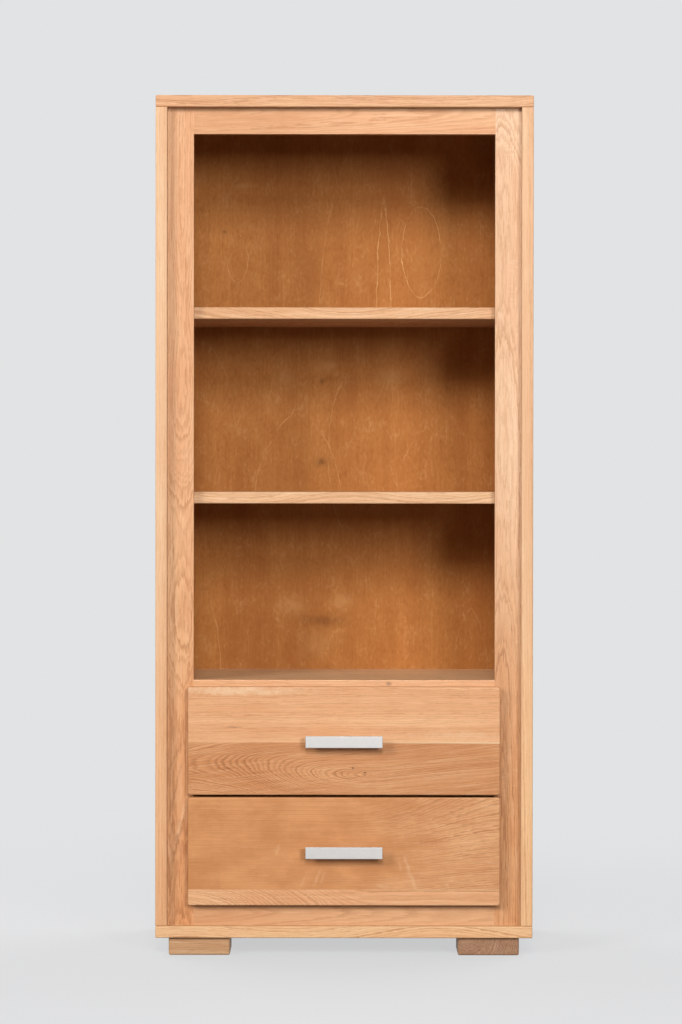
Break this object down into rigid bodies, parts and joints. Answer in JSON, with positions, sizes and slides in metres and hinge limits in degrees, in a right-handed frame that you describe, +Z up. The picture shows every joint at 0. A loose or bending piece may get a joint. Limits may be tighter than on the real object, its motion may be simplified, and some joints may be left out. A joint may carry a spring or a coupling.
{
  "type": "bookcase with drawers",
  "caption": "Tall oak bookcase: open shelves in a set-back face frame above overlay bottom drawers with flat bar handles, which slide on roller runners.",
  "frame": {"origin": "on the floor, under the middle of the whole outline with the handles", "axes": "+Z up, front towards -Y, +X to the right of someone facing the front"},
  "size_m": [0.8, 0.419, 1.823],
  "materials": {
    "oak": "oiled solid oak",
    "plywood": "stained plywood",
    "box_wood": "clear-lacquered beech",
    "beech": "bare beech",
    "runner_coat": "epoxy-coated sheet steel",
    "nylon": "white nylon",
    "handle_metal": "satin aluminium",
    "zinc_screw": "zinc-plated steel",
    "pin_steel": "nickel-plated steel"
  },
  "bodies": {
    "case": {"top_panel": "oak", "bottom_panel": "oak", "back_panel": "plywood", "divider_shelf": "oak", "bottom_rail": "oak", "top_rail": "oak", "right_side_panel": "oak", "left_side_panel": "oak", "right_stile": "oak", "left_stile": "oak", "front_right_foot": "oak", "front_left_foot": "oak", "rear_right_foot": "oak", "rear_left_foot": "oak", "lower_right_packing_block": "beech", "lower_left_packing_block": "beech", "lower_right_cabinet_runner": "runner_coat", "lower_left_cabinet_runner": "runner_coat", "upper_right_packing_block": "beech", "upper_left_packing_block": "beech", "upper_right_cabinet_runner": "runner_coat", "upper_left_cabinet_runner": "runner_coat", "dowels": "beech", "foot_screws": "zinc_screw", "back_panel_screws": "zinc_screw", "packing_screws": "zinc_screw", "cabinet_runner_screws": "zinc_screw", "lower_shelf": "oak", "upper_shelf": "oak", "shelf_pins": "pin_steel"},
    "upper_drawer": {"upper_drawer_front_screws": "zinc_screw", "upper_drawer_handle_screws": "zinc_screw", "upper_drawer_runner_screws": "zinc_screw", "upper_drawer_front": "oak", "upper_drawer_box_front": "box_wood", "upper_drawer_box_back": "box_wood", "upper_drawer_right_side": "box_wood", "upper_drawer_left_side": "box_wood", "upper_drawer_bottom": "plywood", "upper_drawer_right_runner": "runner_coat", "upper_drawer_left_runner": "runner_coat", "upper_drawer_handle": "handle_metal"},
    "lower_drawer": {"lower_drawer_front_screws": "zinc_screw", "lower_drawer_handle_screws": "zinc_screw", "lower_drawer_runner_screws": "zinc_screw", "lower_drawer_front": "oak", "lower_drawer_box_front": "box_wood", "lower_drawer_box_back": "box_wood", "lower_drawer_right_side": "box_wood", "lower_drawer_left_side": "box_wood", "lower_drawer_bottom": "plywood", "lower_drawer_right_runner": "runner_coat", "lower_drawer_left_runner": "runner_coat", "lower_drawer_handle": "handle_metal"},
    "lower_front_rollers": {"lower_front_rollers": "nylon"},
    "lower_rear_rollers": {"lower_rear_rollers": "nylon"},
    "upper_front_rollers": {"upper_front_rollers": "nylon"},
    "upper_rear_rollers": {"upper_rear_rollers": "nylon"}
  },
  "joints": [
    {"name": "upper_drawer_slide", "type": "slide", "parent": "case", "child": "upper_drawer", "axis": [0, -1, 0], "range_m": [0, 0.25]},
    {"name": "upper_front_roller_spin", "type": "hinge", "parent": "case", "child": "upper_front_rollers", "pos_m": [0, -0.1285, 0.3768], "axis": [1, 0, 0], "continuous": true},
    {"name": "upper_rear_roller_spin", "type": "hinge", "parent": "upper_drawer", "child": "upper_rear_rollers", "pos_m": [0, 0.1615, 0.3768], "axis": [1, 0, 0], "continuous": true},
    {"name": "lower_drawer_slide", "type": "slide", "parent": "case", "child": "lower_drawer", "axis": [0, -1, 0], "range_m": [0, 0.25]},
    {"name": "lower_front_roller_spin", "type": "hinge", "parent": "case", "child": "lower_front_rollers", "pos_m": [0, -0.1285, 0.1423], "axis": [1, 0, 0], "continuous": true},
    {"name": "lower_rear_roller_spin", "type": "hinge", "parent": "lower_drawer", "child": "lower_rear_rollers", "pos_m": [0, 0.1615, 0.1423], "axis": [1, 0, 0], "continuous": true}
  ],
  "couplings": [
    {"joint": "upper_front_roller_spin", "follows": "upper_drawer_slide", "rad_per_m": 111.11},
    {"joint": "upper_rear_roller_spin", "follows": "upper_drawer_slide", "rad_per_m": 111.11},
    {"joint": "lower_front_roller_spin", "follows": "lower_drawer_slide", "rad_per_m": 111.11},
    {"joint": "lower_rear_roller_spin", "follows": "lower_drawer_slide", "rad_per_m": 111.11}
  ]
}
